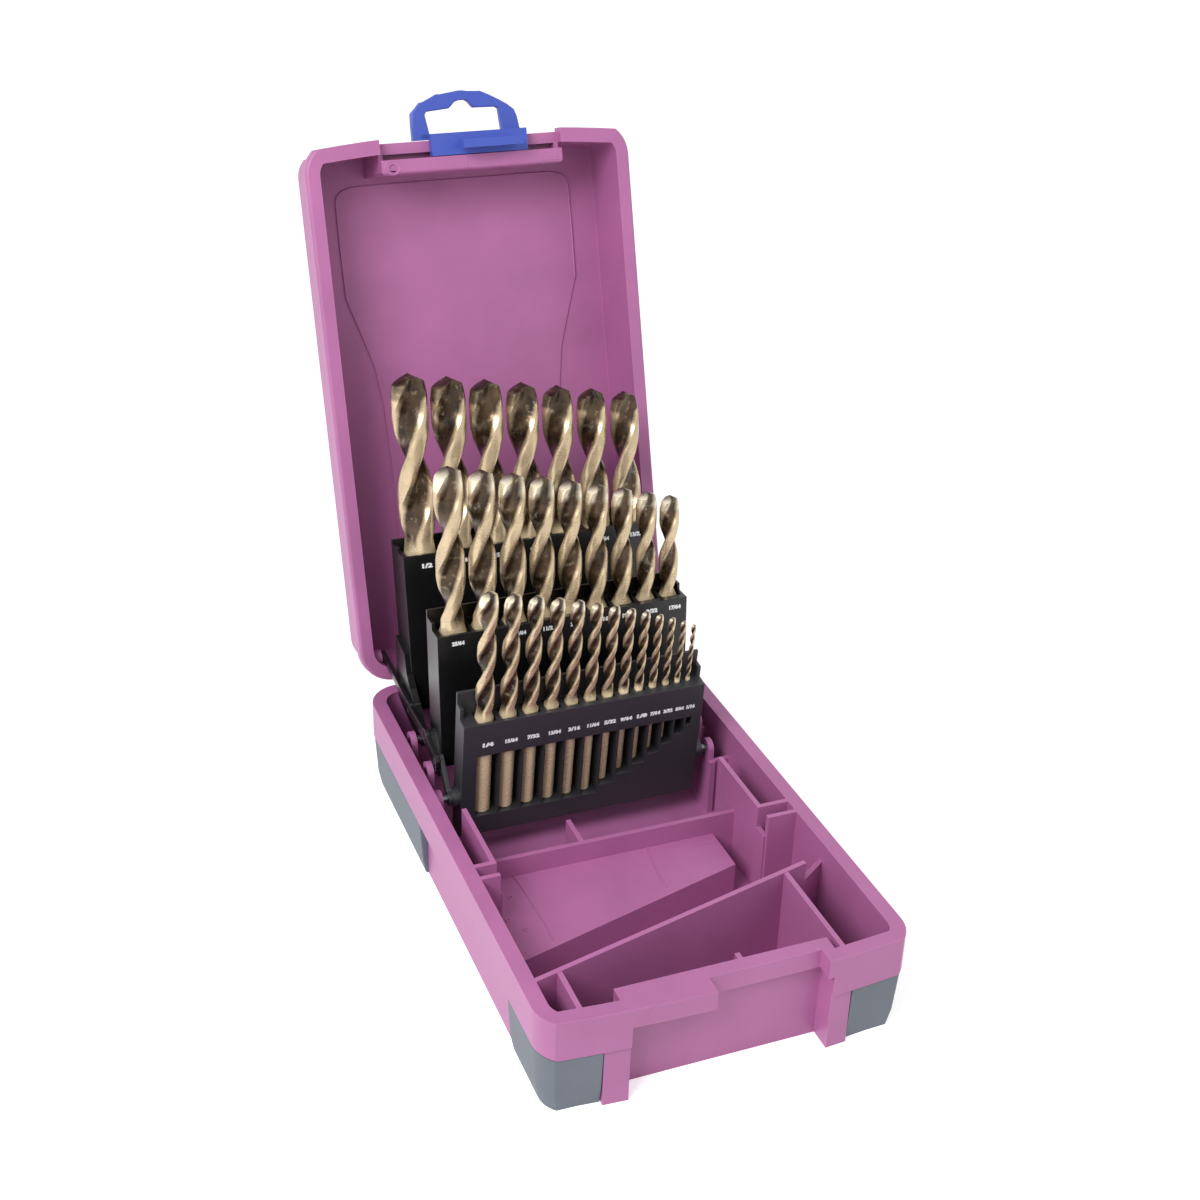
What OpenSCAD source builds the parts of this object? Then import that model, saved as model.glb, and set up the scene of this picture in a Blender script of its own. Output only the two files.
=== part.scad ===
// Drill bit case, shown open: a tray and a lid on a rear hinge, with three folding tiers of bits.
// Millimetres. Origin at the middle of the tray's underside, front towards -Y, lid hinge towards +Y.

/* [Case] */
// Width across the case
case_w = 120; // [118:1:150]
// Length at the corners, front to back
case_l = 190; // [188:1:230]
// Height of the tray, underside to rim
tray_h = 35; // [32:1:50]
// Height of the lid, rim to outside face
lid_h = 29; // [29:1:40]
// How far the front bows forward
front_bow = 3.4; // [1:0.2:6]
// Corner radius seen from above
corner_r = 12; // [9:1:18]
// Width of the flat rim all round
rim_w = 5; // [4:0.5:7]
// Thickness of the walls
wall = 2; // [1.6:0.1:2.6]
// Thickness of the thin dividers
divider = 1.6; // [1.2:0.1:2]
// Angle between the open lid and the closed lid
lid_open = 107; // [90:1:115]

/* [Tray flange and bumpers] */
// Height of the skirt round the tray's rim
skirt_h = 14; // [8:0.5:18]
// Thickness of a corner bumper
bumper_t = 2.6; // [2:0.1:4]
// Gap between a bumper and the tray
bumper_gap = 0.3; // [0.2:0.05:0.5]
// Length of a front bumper along the side
bumper_front_l = 30; // [20:1:45]
// Length of a rear bumper along the side
bumper_rear_l = 68; // [40:1:80]
// Height of the lip that the latch hooks under
lip_h = 6.6; // [5:0.2:9]

/* [Hinge] */
// Radius of the hinge knuckles
knuckle_r = 3.2; // [2.8:0.1:4]
// Radius of the hinge pins
hinge_pin_r = 1.5; // [1:0.1:2]
// Distance of each hinge from the middle of the case
hinge_x = 38; // [30:1:42]
// Width of one knuckle
knuckle_w = 6; // [4:0.5:8]

/* [Latch] */
// Width of the sliding latch along its rail
latch_w = 35.5; // [30:0.5:40]
// Height of the hanging loop beyond the lid
loop_h = 15.3; // [12:0.1:20]
// Thickness of the hanging loop
loop_t = 3; // [2:0.1:4]
// Gap round the sliding latch
latch_gap = 0.3; // [0.2:0.05:0.5]
// Travel of the latch to its locked end
latch_lock = 13; // [10:0.5:15]

/* [Rack] */
// Sideways place of the middle of the rack
rack_x = -2; // [-3:0.5:3]
// Gap round each bit in its bay
bit_gap = 0.3; // [0.2:0.05:0.5]
// Radius of the tier axles
axle_r = 1.5; // [1.2:0.1:1.8]
// Radius of the studs that the link bars ride on
stud_r = 1.3; // [1:0.1:1.5]
// Running clearance between a pin and its hole
pin_gap = 0.05; // [0.02:0.01:0.1]
// Sideways movement of a link stud while the lid turns
link_throw = 18; // [16:0.5:20]

/* [Bits] */
// Number of bits in the rear tier
rear_bits = 7; // [5:1:7]
// Number of bits in the middle tier
middle_bits = 9; // [6:1:9]
// Number of bits in the front tier
front_bits = 13; // [8:1:13]
// Largest diameter, in sixty-fourths of an inch
largest_64 = 32; // [28:1:32]

/* [Hidden] */
$fn = 48;
eps = 0.01;
sixty_fourth = 25.4 / 64;
rim_z = tray_h;
hinge_y = case_l / 2 + 1;
front_y = -case_l / 2 - front_bow;
bow_r = (case_w * case_w / 4 + front_bow * front_bow) / (2 * front_bow);
side_x = case_w / 2 - rim_w;
floor_t = 2.2;
body_inset = rim_w - 1.8;
skirt_t = 1.8;
lid_gap = 0.2;
lid_roof = lid_h - wall;
lid_flange_h = 6;
lid_inset = rim_w - 2.6;
lid_edge_r = 4;

// Latch recess in the tray's front
recess_x0 = -33;
recess_x1 = 32;
recess_y = front_y + 9.4;
lip_x1 = -7;
cut_x1 = 30;
cut_y = recess_y - 2.7;
lip_top = 2;
post_w = 8;

// Latch ledge in the lid's front
loop_x = 0.5;
loop_w = 40;
ledge_x0 = loop_x - loop_w / 2 - latch_lock - 0.5;
ledge_x1 = 34;
rail_y = front_y + 2.4;
rail_z = 4;
rail_h = 1.6;
ledge_y = front_y + 8.2;
rail_in = rail_y + 2.6;
rail_out = rail_in + 1.2;
ledge_back = front_y + 13.4;
latch_x0 = -14.2;
latch_z = 0.3;
loop_z = 5;

// Slabs across the case beside the rack, from the rack's middle outwards
ear_x0 = 45.3;
ear_x1 = 47.1;
bar_x0 = 47.4;
bar_x1 = 48.9;
plate_x0 = 49.2;
plate_x1 = 51.2;

// Tiers: lean, row top, thickness, seat depth, rear wall rise, axle and folded height
// Heights are measured from the rim
lean = [10, 3.5, -6.7];
row_y = [hinge_y - 3.9, hinge_y - 45.9, hinge_y - 70.3];
row_z = [55.9, 46.9, 25.6];
tier_t = [15.2, 12.6, 9];
tier_x0 = [-45.1, -45.3, -43.4];
tier_x1 = [45.1, 45.3, 43.4];
wide_x1 = 48.6;
wide_z = -46;
rear_rise = [2.5, 5, 8.6];
seat_first = [56, 48, 40];
seat_last = [44, 44, 17];
seat_even = [0, 0, 5];
show_first = [63, 58, 50];
show_last = [47.5, 36.5, 23];
foot_t = [1.6, 1.6, 12];
folded_z = [18.6, 4.1, -7.4];
axle_z = [-2.5, -2.5, -7.4];
bit_first = [-36.9, -38.1, -35];
pitch_first = [13.8, 11.1, 8.3];
pitch_last = [12.6, 8.6, 4];
bit_count = [rear_bits, middle_bits, front_bits];
size_first = [largest_64, largest_64 - 7, largest_64 - 16];
numbers_h = 13.5;
foot_cut = 6;

// Lid pivot of the link bars with the lid open
link_turn = lid_open;
link_pin_r = 1.4;
link_eye_r = 2.2;
link_lid = [hinge_y + 9, 6.7];

shell_col = [0.74, 0.45, 0.64];
bumper_col = [0.5, 0.53, 0.58];
latch_col = [0.32, 0.36, 0.72];
rack_col = [0.09, 0.09, 0.1];
steel_col = [0.7, 0.7, 0.72];
bit_col = [0.62, 0.5, 0.36];

// Mechanism: each tier folds forward about its own axle
function lean_up(t) = [sin(lean[t]), cos(lean[t])];
function lean_front(t) = [-cos(lean[t]), sin(lean[t])];
function axle_off(t) = folded_z[t] - axle_z[t];
function axle_drop(t) = (row_z[t] + axle_off(t) * lean_front(t)[1] - axle_z[t]) / lean_up(t)[1];
function axle(t) = [row_y[t], row_z[t]] - axle_drop(t) * lean_up(t) + axle_off(t) * lean_front(t);
function fold(t) = 90 + lean[t];
function throw_r(t) = link_throw / (2 * sin(fold(t) / 2));
function stud(t) = axle(t) + [link_throw / 2, throw_r(t) * cos(fold(t) / 2)];
function lid_rise() = link_throw / (2 * sin(link_turn / 2)) * (1 - cos(link_turn / 2));
function slot_drop(t) = lid_rise() - throw_r(t) * (1 - cos(fold(t) / 2));

// Bits: place along the row, size, seat depth and visible length
function pitch_step(t) = (pitch_first[t] - pitch_last[t]) / (bit_count[t] - 2);
function bit_x(t, i) = bit_first[t] + i * pitch_first[t] - i * (i - 1) / 2 * pitch_step(t);
function bit_d(t, i) = (size_first[t] - i) * sixty_fourth;
function share(t, i) = i / (bit_count[t] - 1);
function seat_share(t, i) = max(0, i - seat_even[t]) / (bit_count[t] - 1 - seat_even[t]);
function seat(t, i) = seat_first[t] + (seat_last[t] - seat_first[t]) * seat_share(t, i);
function show(t, i) = show_first[t] + (show_last[t] - show_first[t]) * share(t, i);

// Plan outline of the case, set in by a distance
module outline(inset) {
  r = corner_r - inset;
  x = case_w / 2 - corner_r;
  y0 = front_y + corner_r;
  y1 = case_l / 2 - corner_r;
  intersection() {
    union() {
      translate([-x - r, y0]) square([2 * (x + r), y1 - y0]);
      translate([-x, y0 - r]) square([2 * x, y1 - y0 + 2 * r]);
      for (cx = [-x, x]) {
        for (cy = [y0, y1]) {
          translate([cx, cy]) circle(r);
        }
      }
    }
    translate([0, front_y + bow_r]) circle(bow_r - inset, $fn = 360);
  }
}

// Box between two corners
module block(a, b) {
  translate(a) cube(b - a);
}

// Upright plate between two plan points
module upright(a, b, t, z0, z1) {
  run = b - a;
  translate([a[0], a[1], z0])
    rotate([0, 0, atan2(run[1], run[0])])
      translate([0, -t / 2, 0]) cube([norm(run), t, z1 - z0]);
}

// Solid across the case, drawn in side view with heights from the rim
module across(x0, x1) {
  translate([rack_x + x0, 0, rim_z])
    rotate([90, 0, 90])
      linear_extrude(x1 - x0) children();
}

// The same solid on both sides of the rack
module both_sides(x0, x1) {
  across(x0, x1) children();
  across(-x1, -x0) children();
}

// Straight bar between two points of a side view
module strip(a, b, w) {
  run = b - a;
  translate(a) rotate(atan2(run[1], run[0])) translate([0, -w / 2]) square([norm(run), w]);
}

module disc(p, r) {
  translate(p) circle(r);
}

// Places closed-lid geometry, heights from the rim, at the open lid
module on_lid() {
  translate([0, hinge_y, rim_z])
    rotate([-lid_open, 0, 0])
      translate([0, -hinge_y, 0]) children();
}

// Cylinder on the hinge axis, heights from the rim
module hinge_round(x0, x1, r) {
  translate([x0, hinge_y, 0]) rotate([0, 90, 0]) cylinder(h = x1 - x0, r = r);
}

// Knuckles of the tray, either side of the lid's middle one
tray_knuckles = [[-1.5, -0.5], [0.5, 1.5]];
lid_knuckles = [[-0.5, 0.5]];
knuckle_play = 0.15;
pin_half = 1.5 * knuckle_w;

module knuckle_spans(spans, play) {
  for (side = [-1, 1]) {
    for (s = spans) {
      x0 = side * hinge_x + s[0] * knuckle_w - play;
      x1 = side * hinge_x + s[1] * knuckle_w + play;
      translate([x0, 0, 0]) knuckle_at(x1 - x0, play > 0);
    }
  }
}

module knuckle_at(w, relief) {
  hinge_round(0, w, relief ? knuckle_r + 0.4 : knuckle_r);
}

// Dividers of the tray: plan points
wall_a = [[-56, front_y + 22.3], [45, front_y + 47.1]];
wall_b = [[44.4, front_y + 46.9], [56, front_y + 54.9]];
long_x = 46.6;
deck_left = rack_x - long_x;
deck_right = 36;
deck_back = hinge_y - 98.5;
deck_z = rim_z - 20;
cross_top = rim_z - 12.5;
long_y = [deck_back - 17.1, deck_back + 14.5];
slot_y = [deck_back - 16.3, deck_back - 22.7];
deck_front = [[-side_x - 1, deck_back - 44.4], [deck_right, deck_back - 19.1]];
gussets = [[-14, front_y + 16.4], [10, front_y + 22.4]];

module dividers() {
  upright(wall_a[0], wall_a[1], divider, eps, rim_z);
  upright(wall_b[0], wall_b[1], divider, eps, rim_z - 7);
  upright([-47, front_y + 6.4], [-47, front_y + 24.4], divider, eps, rim_z - 0.3);
  upright([37, front_y + 5.4], [37, front_y + 45], divider, eps, rim_z - 0.3);
  for (g = gussets) {
    upright([g[0], recess_y + 1], [g[0], g[1]], divider, eps, rim_z - 8);
  }
  // Deck with its side walls, open underneath
  translate([0, 0, deck_z - wall]) linear_extrude(wall) deck_plan();
  linear_extrude(deck_z - eps) difference() {
    deck_plan();
    deck_hollow();
  }
  upright([rack_x - long_x, deck_back], [rack_x + long_x, deck_back], divider, eps, cross_top);
  // Walls beside the rack and the two slot plates on each side
  for (side = [-1, 1]) {
    x = rack_x + side * long_x;
    wide = side * (side_x + 1);
    upright([x, long_y[0]], [x, long_y[1]], divider, eps, rim_z);
    for (y = slot_y) {
      upright([x, y], [wide, y], divider, eps, rim_z);
    }
    upright([x, slot_y[1]], [x, slot_y[0]], divider, eps, rim_z - 8);
  }
  upright([-12, deck_back], [-12, long_y[1] - 1], divider, eps, cross_top);
}

module deck_plan() {
  polygon([
    [deck_left, deck_back],
    [deck_left, slot_y[1]],
    [deck_front[0][0], slot_y[1]],
    deck_front[0],
    deck_front[1],
    [deck_right, deck_back]
  ]);
}

module deck_hollow() {
  polygon([
    [deck_left + wall, deck_back - wall],
    [deck_left + wall, slot_y[1] - wall],
    [wall - side_x, slot_y[1] - wall],
    [wall - side_x, deck_front[0][1] + 2 * wall],
    deck_front[1] + [-wall, wall],
    [deck_right - wall, deck_back - wall]
  ]);
}

// Side plates of the tray that carry the tier axles
plate_y = [axle(2)[0] - 5, axle(0)[0] + 5];
boss_r = 3.4;

module axle_plate_face() {
  for (t = [0:2]) {
    disc(axle(t), boss_r);
    translate([axle(t)[0] - boss_r, -rim_z + 1]) square([2 * boss_r, axle(t)[1] + rim_z - 1]);
  }
  translate([plate_y[0], -rim_z + 1]) square([plate_y[1] - plate_y[0], rim_z - 12]);
}

module axle_plates() {
  both_sides(plate_x0, plate_x1) axle_plate_face();
  // Ribs that tie each plate to the side wall
  for (y = [plate_y[0] + 1, axle(1)[0] + 6, plate_y[1] - 2]) {
    block([rack_x + plate_x1 - eps, y, 1], [side_x + 1, y + divider, rim_z - 11]);
    block([-side_x - 1, y, 1], [rack_x - plate_x1 + eps, y + divider, rim_z - 11]);
  }
}

module base_tray() color(shell_col) {
  difference() {
    union() {
      difference() {
        union() {
          linear_extrude(rim_z) outline(body_inset);
          translate([0, 0, rim_z - skirt_h]) linear_extrude(skirt_h) outline(0);
          intersection() {
            linear_extrude(rim_z - skirt_h + 1) outline(0.8);
            union() {
              block([recess_x0 - post_w, front_y, 0], [recess_x0, recess_y + wall, rim_z]);
              block([recess_x1, front_y, 0], [recess_x1 + post_w - 1, recess_y + wall, rim_z]);
            }
          }
        }
        // Inside of the tray
        translate([0, 0, floor_t]) linear_extrude(rim_z) difference() {
          outline(rim_w);
          translate([recess_x0 - wall, front_y])
            square([recess_x1 - recess_x0 + 2 * wall, recess_y + wall - front_y]);
        }
        // Hollow underside of the skirt
        translate([0, 0, rim_z - skirt_h - eps]) linear_extrude(skirt_h - lip_top) difference() {
          outline(skirt_t);
          outline(body_inset);
          translate([recess_x0 - post_w, front_y])
            square([recess_x1 - recess_x0 + 2 * post_w, recess_y - front_y]);
        }
        // Latch recess, the lip's underside and the cut-away
        block([recess_x0, front_y - 1, -1], [recess_x1, recess_y, rim_z - lip_h]);
        block([recess_x0, front_y + 3, 0], [lip_x1 + 1, recess_y, rim_z - lip_top]);
        block([lip_x1, front_y - 1, 0], [cut_x1, cut_y, rim_z + 1]);
      }
      intersection() {
        union() {
          dividers();
          axle_plates();
        }
        linear_extrude(2 * rim_z) outline(rim_w - 1);
      }
      // Hinge knuckles on the rear wall
      translate([0, 0, rim_z]) knuckle_spans(tray_knuckles, 0);
      for (side = [-1, 1]) {
        for (s = tray_knuckles) {
          x0 = side * hinge_x + s[0] * knuckle_w;
          block([x0, hinge_y - 3.5, rim_z - 8], [x0 + knuckle_w, hinge_y, rim_z]);
        }
      }
    }
    // Room for the lid's knuckles
    translate([0, 0, rim_z]) knuckle_spans(lid_knuckles, knuckle_play);
    for (side = [-1, 1]) {
      translate([0, 0, rim_z])
        hinge_round(side * hinge_x - pin_half, side * hinge_x + pin_half, hinge_pin_r);
    }
    // Open underside of the deck
    translate([0, 0, -eps]) linear_extrude(deck_z - wall) deck_hollow();
    // Axle holes
    both_sides(plate_x0 - 1, plate_x1 + eps) {
      for (t = [0:2]) {
        disc(axle(t), axle_r);
      }
    }
  }
}

// Corner bumpers: a shell round each lower corner, below the skirt
module bumper(x0, x1, y0, y1) {
  color(bumper_col) intersection() {
    linear_extrude(rim_z - skirt_h - bumper_gap) difference() {
      outline(body_inset - bumper_gap - bumper_t);
      outline(body_inset - bumper_gap);
    }
    block([x0, y0, -1], [x1, y1, rim_z]);
  }
}

post_left = recess_x0 - post_w - bumper_gap;
post_right = recess_x1 + post_w - 1 + bumper_gap;
bumper_back_x = 42;

module bumper_front_left() {
  bumper(-case_w, post_left, -case_l, -case_l / 2 + bumper_front_l);
}

module bumper_front_right() {
  bumper(post_right, case_w, -case_l, -case_l / 2 + bumper_front_l);
}

module bumper_rear_left() {
  bumper(-case_w, -bumper_back_x, case_l / 2 - bumper_rear_l, case_l);
}

module bumper_rear_right() {
  bumper(bumper_back_x, case_w, case_l / 2 - bumper_rear_l, case_l);
}

// Lid outside, drawn closed, with its outer edge rounded in fine steps
edge_steps = 3;

module lid_body() {
  r = lid_edge_r;
  for (k = [0:edge_steps]) {
    a = 90 * k / (edge_steps + 0.5);
    top = lid_h - r + r * sin(90 * k / edge_steps);
    translate([0, 0, lid_gap]) linear_extrude(top - lid_gap) outline(lid_inset + r * (1 - cos(a)));
  }
}

module lid_shell() color(shell_col) on_lid() {
  boss_x = plate_x0;
  difference() {
    union() {
      difference() {
        union() {
          lid_body();
          translate([0, 0, lid_gap]) linear_extrude(lid_flange_h) outline(0);
        }
        translate([0, 0, -1]) linear_extrude(lid_roof + 1) difference() {
          outline(rim_w);
          translate([ledge_x0, front_y]) square([ledge_x1 - ledge_x0, ledge_back - front_y]);
        }
        // Hollow behind the ledge
        block([ledge_x0 + divider, rail_in, divider + lid_gap],
          [ledge_x1 - divider, ledge_back - divider, lid_roof]);
        // Room for the sliding latch below and in front of the rail
        block([ledge_x0, front_y - 1, -1], [ledge_x1, ledge_y, rail_z]);
        block([ledge_x0, front_y - 1, -1], [ledge_x1, rail_y, loop_z + loop_t + 2 * latch_gap]);
      }
      block([ledge_x0, rail_in - 1, rail_z], [ledge_x1, rail_out, rail_z + rail_h]);
      knuckle_spans(lid_knuckles, 0);
      for (side = [-1, 1]) {
        for (s = lid_knuckles) {
          x0 = side * hinge_x + s[0] * knuckle_w;
          block([x0, hinge_y - 3.5, lid_gap], [x0 + knuckle_w, hinge_y, 8]);
        }
      }
      // Bosses for the link bar pins
      intersection() {
        translate([0, 0, -rim_z]) both_sides(boss_x, case_w / 2) disc(closed_link(), 2.8);
        linear_extrude(lid_h) outline(lid_inset + 1);
      }
    }
    knuckle_spans(tray_knuckles, knuckle_play);
    for (side = [-1, 1]) {
      hinge_round(side * hinge_x - pin_half, side * hinge_x + pin_half, hinge_pin_r + pin_gap);
    }
    translate([0, 0, -rim_z]) both_sides(boss_x - 1, boss_x + 4) disc(closed_link(), link_pin_r);
    // Dimple in the ledge
    translate([-29, ledge_y + 2.8, lid_gap - 1]) cylinder(h = 1.6, r = 1.4);
  }
}

// Lid pivot of the link bars with the lid closed
function turned(p, a) = [p[0] * cos(a) - p[1] * sin(a), p[0] * sin(a) + p[1] * cos(a)];
function closed_link() = [hinge_y, 0] + turned(link_lid - [hinge_y, 0], lid_open);

module hinge_pins() color(steel_col) {
  for (side = [-1, 1]) {
    translate([0, 0, rim_z])
      hinge_round(side * hinge_x - pin_half, side * hinge_x + pin_half, hinge_pin_r);
  }
}

// Sliding latch with a hook for the tray's lip and a loop to hang the case by
hook_x = [-5, 6.5, 17];
hook_z = -8;

module latch_hanger() color(latch_col) on_lid() {
  x1 = latch_x0 + latch_w;
  lip_out = rail_out + latch_gap;
  lip_in = lip_out + 1.4;
  floor_top = rail_z - latch_gap;
  catch_z = rail_z + rail_h + latch_gap;
  block([latch_x0, front_y + 0.3, latch_z], [x1, lip_in, floor_top]);
  block([latch_x0, front_y + 0.3, latch_z], [x1, rail_y - latch_gap, loop_z + loop_t]);
  block([latch_x0 + 2, lip_out, floor_top - eps], [x1 - 2, lip_in, catch_z + 1.3]);
  block([latch_x0 + 2, rail_in + latch_gap, catch_z], [x1 - 2, lip_in, catch_z + 1.3]);
  // Hook
  block([hook_x[1], cut_y - 3.5, hook_z], [hook_x[2], cut_y - 0.7, latch_z + 1]);
  block([hook_x[0], cut_y - 3.5, hook_z], [hook_x[1] + eps, cut_y - 0.7, -lip_top - 0.5]);
  translate([0, 0, loop_z]) linear_extrude(loop_t) loop_face();
}

module loop_face() {
  y0 = front_y + 0.3;
  top = -case_l / 2 - loop_h - 1;
  grip_r = 2.2;
  difference() {
    union() {
      polygon([
        [loop_x - loop_w / 2, rail_y - latch_gap],
        [loop_x + loop_w / 2, rail_y - latch_gap],
        [loop_x + loop_w / 2 - 1, y0 - 7],
        [loop_x + loop_w / 2 - 7, top],
        [loop_x - loop_w / 2 + 7, top],
        [loop_x - loop_w / 2 + 1, y0 - 7]
      ]);
      for (k = [-1:1]) {
        translate([loop_x + k * 7.5, top + 1]) circle(grip_r);
      }
    }
    translate([-13, y0 - 7.3]) square([27, 7.2]);
    translate([-3.7, y0 - 9.8]) square([7.7, 3]);
  }
}

// One tier: a body with a bay for each bit, in the frame of its leaning row
module on_tier(t) {
  translate([rack_x, row_y[t], rim_z + row_z[t]]) rotate([-lean[t], 0, 0]) children();
}

module tier_body(t) {
  half = tier_t[t] / 2;
  foot = -seat_first[t] - foot_t[t];
  block([tier_x0[t], -half, foot], [tier_x1[t], half, 0]);
  block([tier_x0[t], half - 1, foot], [tier_x1[t], half, rear_rise[t]]);
  for (x = [tier_x0[t], tier_x1[t] - 1.2]) {
    block([x, 0, foot], [x + 1.2, half, rear_rise[t] / 2]);
  }
}

module tier_bays(t) {
  for (i = [0:bit_count[t] - 1]) {
    r = bit_d(t, i) / 2 + bit_gap;
    block([bit_x(t, i) - r, -r, -seat(t, i)], [bit_x(t, i) + r, r, 60]);
  }
}

module bay_windows(t) {
  for (i = [0:bit_count[t] - 1]) {
    r = bit_d(t, i) / 2 + bit_gap;
    block([bit_x(t, i) - r, -tier_t[t], -seat(t, i)], [bit_x(t, i) + r, 0, -numbers_h]);
  }
}

// Ear on each side: axle hole and a stud for the link bar
module ear(t, boss, arm) {
  both_sides(ear_x0 - 0.7, ear_x1) ear_face(t, boss, arm);
  both_sides(ear_x1 - eps, bar_x1 - 0.1) disc(stud(t), stud_r);
}

module ear_face(t, boss, arm) {
  disc(axle(t), boss);
  disc(stud(t), arm);
  strip(axle(t), stud(t), 1.9 * arm);
}

module axle_holes(t) {
  both_sides(ear_x0 - 0.8, ear_x1 + eps) disc(axle(t), axle_r + pin_gap);
}

// Side arm of the rear tier, from its foot forward to its axle
arm_shape = [[0, -2.6], [14, -1.5], [22, 0], [30, 1.5], [30, 26], [19, 24], [16.6, 16.9], [13, 13], [0, 3]];

module rear_tier() color(rack_col) difference() {
  half = tier_t[0] / 2;
  union() {
    on_tier(0) tier_body(0);
    on_tier(0) block([tier_x1[0] - 1, -half, wide_z], [wide_x1, half, 0]);
    on_tier(0) block([tier_x1[0] - 1, half - 1, wide_z], [wide_x1, half, rear_rise[0]]);
    ear(0, 2.6, 2.4);
    intersection() {
      both_sides(ear_x0 - 0.7, ear_x1) translate(axle(0)) polygon(arm_shape);
      on_tier(0) block([-60, -40, -65], [60, half - 1, -20]);
    }
  }
  on_tier(0) tier_bays(0);
  axle_holes(0);
}

module middle_tier() color(rack_col) difference() {
  union() {
    on_tier(1) tier_body(1);
    ear(1, 2.6, 2);
  }
  on_tier(1) tier_bays(1);
  axle_holes(1);
}

module front_tier() color(rack_col) difference() {
  union() {
    on_tier(2) tier_body(2);
    both_sides(tier_x1[2] - 1, ear_x0 + 0.3) disc(axle(2), 3.4);
    both_sides(ear_x0 + 0.29, ear_x1) ear_face(2, 2.6, 1.8);
    both_sides(ear_x1 - eps, bar_x1 - 0.1) disc(stud(2), stud_r);
  }
  on_tier(2) tier_bays(2);
  on_tier(2) bay_windows(2);
  on_tier(2) translate([0, -tier_t[2] / 2, -seat_first[2] - foot_t[2]])
    rotate([45, 0, 0]) cube([case_w, foot_cut, foot_cut], center = true);
  axle_holes(2);
}

// Axle pins, pressed into the tray's side plates
module rack_axle_pins() color(steel_col) {
  both_sides(ear_x0, plate_x1) {
    for (t = [0:2]) {
      disc(axle(t), axle_r);
    }
  }
}

// Link bar: turns on the lid and carries the three tiers' studs in slots
slot_gap = 0.3;
bar_rim = 1.1;

module slot(t, grow) {
  r = stud_r + slot_gap + grow;
  low = stud(t) - [0, slot_drop(t)];
  disc(stud(t), r);
  disc(low, r);
  translate(low - [r, 0]) square([2 * r, slot_drop(t)]);
}

module link_face() {
  difference() {
    union() {
      disc(link_lid, link_eye_r);
      strip(link_lid + [0, 1.2], stud(0) + [0, 0.9], 2.6);
      strip(stud(0), stud(1), 4);
      strip(stud(1), stud(2), 4);
      for (t = [0:2]) {
        slot(t, bar_rim);
      }
    }
    for (t = [0:2]) {
      slot(t, 0);
    }
    disc(link_lid, link_pin_r + pin_gap);
  }
}

module link_bar_left() {
  color(rack_col) across(-bar_x1, -bar_x0) link_face();
}

module link_bar_right() {
  color(rack_col) across(bar_x0, bar_x1) link_face();
}

module lid_link_pins() {
  color(steel_col) both_sides(bar_x0, plate_x0 + 3.5) disc(link_lid, link_pin_r);
}

// Twist drill bit: plain shank, two twisted flutes and a point
ring_n = 8;
flute_rings = 14;
point_angle = 118;
flute_depth = [1, 1, 0.52, 0.6];
flute_share = 0.92;
helix = 5.4;

function ring(r, z, turn, depth) = [
  for (j = [0:ring_n - 1])
    let (f = depth ? flute_depth[j % 4] : 1, a = turn + j * 360 / ring_n)
      [r * f * cos(a), r * f * sin(a), z]
];

module twist_bit(d, seated, shown) {
  r = d / 2;
  length = seated + shown;
  tip_h = r / tan(point_angle / 2);
  start = length - shown * flute_share;
  run = length - tip_h - start;
  turns = 360 * run / (helix * d);
  rings = concat(
    [ring(r, 0, 0, false), ring(r, start - d * 0.4, 0, false)],
    [for (k = [0:flute_rings]) ring(r, start + run * k / flute_rings, turns * k / flute_rings, true)]
  );
  count = len(rings);
  points = concat([for (q = rings) each q], [[0, 0, 0], [0, 0, length]]);
  foot = count * ring_n;
  sides = [
    for (k = [0:count - 2])
      for (j = [0:ring_n - 1])
        let (a = k * ring_n + j, b = k * ring_n + (j + 1) % ring_n)
          each [[a, a + ring_n, b], [b, a + ring_n, b + ring_n]]
  ];
  last = (count - 1) * ring_n;
  ends = [
    for (j = [0:ring_n - 1])
      each [[foot, j, (j + 1) % ring_n], [foot + 1, last + (j + 1) % ring_n, last + j]]
  ];
  polyhedron(points = points, faces = concat(sides, ends));
}

// Bit number k counts down in size from the largest, across all three tiers
function tier_of(k) = k < rear_bits ? 0 : k < rear_bits + middle_bits ? 1 : 2;
function place_of(k) = k - [0, rear_bits, rear_bits + middle_bits][tier_of(k)];

module bit(k) {
  t = tier_of(k);
  i = place_of(k);
  color(bit_col) on_tier(t) translate([bit_x(t, i), 0, -seat(t, i)])
    twist_bit(bit_d(t, i), seat(t, i), show(t, i));
}

base_tray();
bumper_front_left();
bumper_front_right();
bumper_rear_left();
bumper_rear_right();
lid_shell();
hinge_pins();
latch_hanger();
rear_tier();
middle_tier();
front_tier();
rack_axle_pins();
link_bar_left();
link_bar_right();
lid_link_pins();
bit(0);  // bit_32
bit(1);  // bit_31
bit(2);  // bit_30
bit(3);  // bit_29
bit(4);  // bit_28
bit(5);  // bit_27
bit(6);  // bit_26
bit(7);  // bit_25
bit(8);  // bit_24
bit(9);  // bit_23
bit(10);  // bit_22
bit(11);  // bit_21
bit(12);  // bit_20
bit(13);  // bit_19
bit(14);  // bit_18
bit(15);  // bit_17
bit(16);  // bit_16
bit(17);  // bit_15
bit(18);  // bit_14
bit(19);  // bit_13
bit(20);  // bit_12
bit(21);  // bit_11
bit(22);  // bit_10
bit(23);  // bit_09
bit(24);  // bit_08
bit(25);  // bit_07
bit(26);  // bit_06
bit(27);  // bit_05
bit(28);  // bit_04
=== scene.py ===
"""Looks of the open drill bit case: moulded shells, bumpers, latch, black rack and twist bits."""

from math import atan2, cos, degrees, gcd, pi, radians, sin, tan

import bmesh
import bpy
from mathutils import Matrix, Vector


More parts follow.
